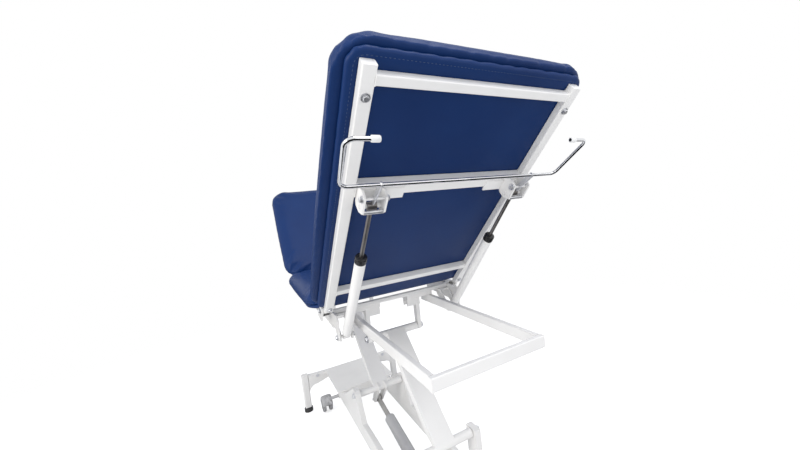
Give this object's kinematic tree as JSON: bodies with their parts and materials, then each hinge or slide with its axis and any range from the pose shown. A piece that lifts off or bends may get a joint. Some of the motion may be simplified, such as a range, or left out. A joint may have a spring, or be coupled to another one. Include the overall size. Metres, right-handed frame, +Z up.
{
  "type": "treatment table",
  "caption": "Height-adjustable treatment table with raising backrest and leg section on gas springs, padded navy sections, white steel parallel-arm lift, actuator and retracting castors.",
  "frame": {"origin": "floor level under the middle of the outline", "axes": "+X towards the head end (backrest), +Y to the right seen from the head end, +Z up"},
  "size_m": [1.553, 0.5662, 1.3037],
  "materials": {
    "vinyl": "navy blue upholstery vinyl, satin",
    "board_cover": "plywood covered with navy vinyl",
    "zinc_bolt": "bright zinc plating",
    "chrome_bar": "chrome plated",
    "dark_rod": "dark nitrided piston rod",
    "grey_rod": "grey steel tube",
    "grey_housing": "grey moulded housing",
    "light_cover": "light grey moulded cover",
    "grey_tyre": "grey castor wheel",
    "zinc_plate": "zinc plated pressed steel",
    "black_rubber": "black rubber",
    "white_paint": "white powder coat"
  },
  "bodies": {
    "base": {"base_beam_left": "white_paint", "base_beam_right": "white_paint", "foot_cross_member": "white_paint", "head_cross_member": "white_paint", "leg_foot_left": "white_paint", "leg_foot_right": "white_paint", "leg_head_left": "white_paint", "leg_head_right": "white_paint", "rubber_feet": "black_rubber", "lower_pivot_bolts": "zinc_bolt", "actuator_anchor": "white_paint"},
    "castors_foot": {"castor_bar_foot": "zinc_plate"},
    "castors_head": {"castor_bar_head": "zinc_plate"},
    "wheel_foot_left": {"castor_wheel_foot_left": "grey_tyre"},
    "wheel_foot_right": {"castor_wheel_foot_right": "grey_tyre"},
    "wheel_head_left": {"castor_wheel_head_left": "grey_tyre"},
    "wheel_head_right": {"castor_wheel_head_right": "grey_tyre"},
    "foot_arm": {"lift_arm_foot": "white_paint"},
    "head_arm": {"lift_arm_head": "white_paint"},
    "actuator": {"actuator_housing": "grey_housing", "actuator_motor": "light_cover"},
    "ram": {"actuator_rod": "grey_rod"},
    "upper_frame": {"lift_carrier_head": "white_paint", "lift_carrier_foot": "white_paint", "u_rail_left": "white_paint", "u_rail_right": "white_paint", "u_cross_rail": "white_paint", "seat_rail_left": "white_paint", "seat_rail_right": "white_paint", "seat_cross_head": "white_paint", "seat_cross_foot": "white_paint", "seat_board": "board_cover", "seat_pad": "vinyl", "hinge_pins": "zinc_bolt", "upper_pivot_bolts": "zinc_bolt"},
    "backrest": {"back_rail_left": "white_paint", "back_rail_right": "white_paint", "back_top_rail": "white_paint", "back_mid_rail": "white_paint", "back_low_rail": "white_paint", "spring_clevis_left": "white_paint", "spring_clevis_right": "white_paint", "back_board": "board_cover", "back_pad": "vinyl", "back_bolts": "zinc_bolt"},
    "spring_rod_left": {"gas_rod_left": "dark_rod"},
    "spring_rod_right": {"gas_rod_right": "dark_rod"},
    "spring_cylinder_left": {"gas_cylinder_left": "white_paint"},
    "spring_cylinder_right": {"gas_cylinder_right": "white_paint"},
    "release": {"release_bar": "chrome_bar", "release_grip_left": "chrome_bar", "release_grip_right": "chrome_bar"},
    "leg_section": {"leg_rail_left": "white_paint", "leg_rail_right": "white_paint", "leg_cross_rail": "white_paint", "leg_end_rail": "white_paint", "leg_board": "board_cover", "leg_pad": "vinyl"},
    "strut_rod": {"leg_strut_rod": "dark_rod"},
    "strut_cylinder": {"leg_strut_cylinder": "white_paint"}
  },
  "joints": [
    {"name": "lift", "type": "hinge", "parent": "base", "child": "foot_arm", "pos_m": [-0.15303, 0, 0.264], "axis": [0, 1, 0], "range_deg": [-30, 30]},
    {"name": "upper_level", "type": "hinge", "parent": "foot_arm", "child": "upper_frame", "pos_m": [-0.45598, 0, 0.52596], "axis": [0, 1, 0], "range_deg": [-31, 31]},
    {"name": "head_arm_swing", "type": "hinge", "parent": "base", "child": "head_arm", "pos_m": [0.40397, 0, 0.315], "axis": [0, 1, 0], "range_deg": [-31, 31]},
    {"name": "actuator_tilt", "type": "hinge", "parent": "base", "child": "actuator", "pos_m": [0.30392, 0, 0.076], "axis": [0, 1, 0], "range_deg": [-2.45, 2.45]},
    {"name": "actuator_stroke", "type": "slide", "parent": "actuator", "child": "ram", "axis": [-0.9785, 0, 0.2061], "range_m": [-0.04605, 0.04605]},
    {"name": "backrest", "type": "hinge", "parent": "upper_frame", "child": "backrest", "pos_m": [0.15392, 0, 0.728], "axis": [0, -1, 0], "range_deg": [-41.16, 28.84]},
    {"name": "spring_tilt_left", "type": "hinge", "parent": "backrest", "child": "spring_rod_left", "pos_m": [0.57955, -0.193, 1.02968], "axis": [0, -1, 0], "range_deg": [-0.97, 1.39]},
    {"name": "spring_stroke_left", "type": "slide", "parent": "spring_rod_left", "child": "spring_cylinder_left", "axis": [-0.7043, 0, -0.7099], "range_m": [-0.06381, 0.04471]},
    {"name": "spring_tilt_right", "type": "hinge", "parent": "backrest", "child": "spring_rod_right", "pos_m": [0.57955, 0.193, 1.02968], "axis": [0, -1, 0], "range_deg": [-0.97, 1.39]},
    {"name": "spring_stroke_right", "type": "slide", "parent": "spring_rod_right", "child": "spring_cylinder_right", "axis": [-0.7043, 0, -0.7099], "range_m": [-0.06381, 0.04471]},
    {"name": "release_bar", "type": "hinge", "parent": "backrest", "child": "release", "pos_m": [0.60524, 0, 1.04284], "axis": [0, -1, 0], "range_deg": [0, 9], "stiffness_Nm_per_rad": 4, "springref_deg": -22.92},
    {"name": "leg_section", "type": "hinge", "parent": "upper_frame", "child": "leg_section", "pos_m": [-0.47608, 0, 0.728], "axis": [0, 1, 0], "range_deg": [-55, 10]},
    {"name": "strut_tilt", "type": "hinge", "parent": "leg_section", "child": "strut_rod", "pos_m": [-0.6719, 0, 0.92049], "axis": [0, 1, 0], "range_deg": [-0.7, 3.87]},
    {"name": "strut_stroke", "type": "slide", "parent": "strut_rod", "child": "strut_cylinder", "axis": [0.4827, 0, -0.8758], "range_m": [-0.08696, 0.01581]},
    {"name": "castors_foot", "type": "hinge", "parent": "base", "child": "castors_foot", "pos_m": [-0.53608, 0, 0.095], "axis": [0, -1, 0], "range_deg": [0, 14]},
    {"name": "roll_foot_left", "type": "hinge", "parent": "castors_foot", "child": "wheel_foot_left", "pos_m": [-0.60508, -0.162, 0.04], "axis": [0, 1, 0], "continuous": true},
    {"name": "roll_foot_right", "type": "hinge", "parent": "castors_foot", "child": "wheel_foot_right", "pos_m": [-0.60508, 0.162, 0.04], "axis": [0, 1, 0], "continuous": true},
    {"name": "castors_head", "type": "hinge", "parent": "base", "child": "castors_head", "pos_m": [0.52592, 0, 0.095], "axis": [0, 1, 0], "range_deg": [0, 14]},
    {"name": "roll_head_left", "type": "hinge", "parent": "castors_head", "child": "wheel_head_left", "pos_m": [0.59492, -0.162, 0.04], "axis": [0, 1, 0], "continuous": true},
    {"name": "roll_head_right", "type": "hinge", "parent": "castors_head", "child": "wheel_head_right", "pos_m": [0.59492, 0.162, 0.04], "axis": [0, 1, 0], "continuous": true}
  ],
  "couplings": [
    {"joint": "upper_level", "follows": "lift", "ratio": -1},
    {"joint": "head_arm_swing", "follows": "lift", "ratio": 1},
    {"joint": "actuator_tilt", "follows": "lift", "ratio": 0.08},
    {"joint": "actuator_stroke", "follows": "lift", "m_per_rad": 0.08623},
    {"joint": "strut_tilt", "follows": "leg_section", "ratio": -0.069},
    {"joint": "strut_stroke", "follows": "leg_section", "m_per_rad": 0.088808},
    {"joint": "spring_tilt_left", "follows": "backrest", "ratio": -0.033},
    {"joint": "spring_stroke_left", "follows": "backrest", "m_per_rad": 0.08709},
    {"joint": "spring_tilt_right", "follows": "backrest", "ratio": -0.033},
    {"joint": "spring_stroke_right", "follows": "backrest", "m_per_rad": 0.08709}
  ]
}
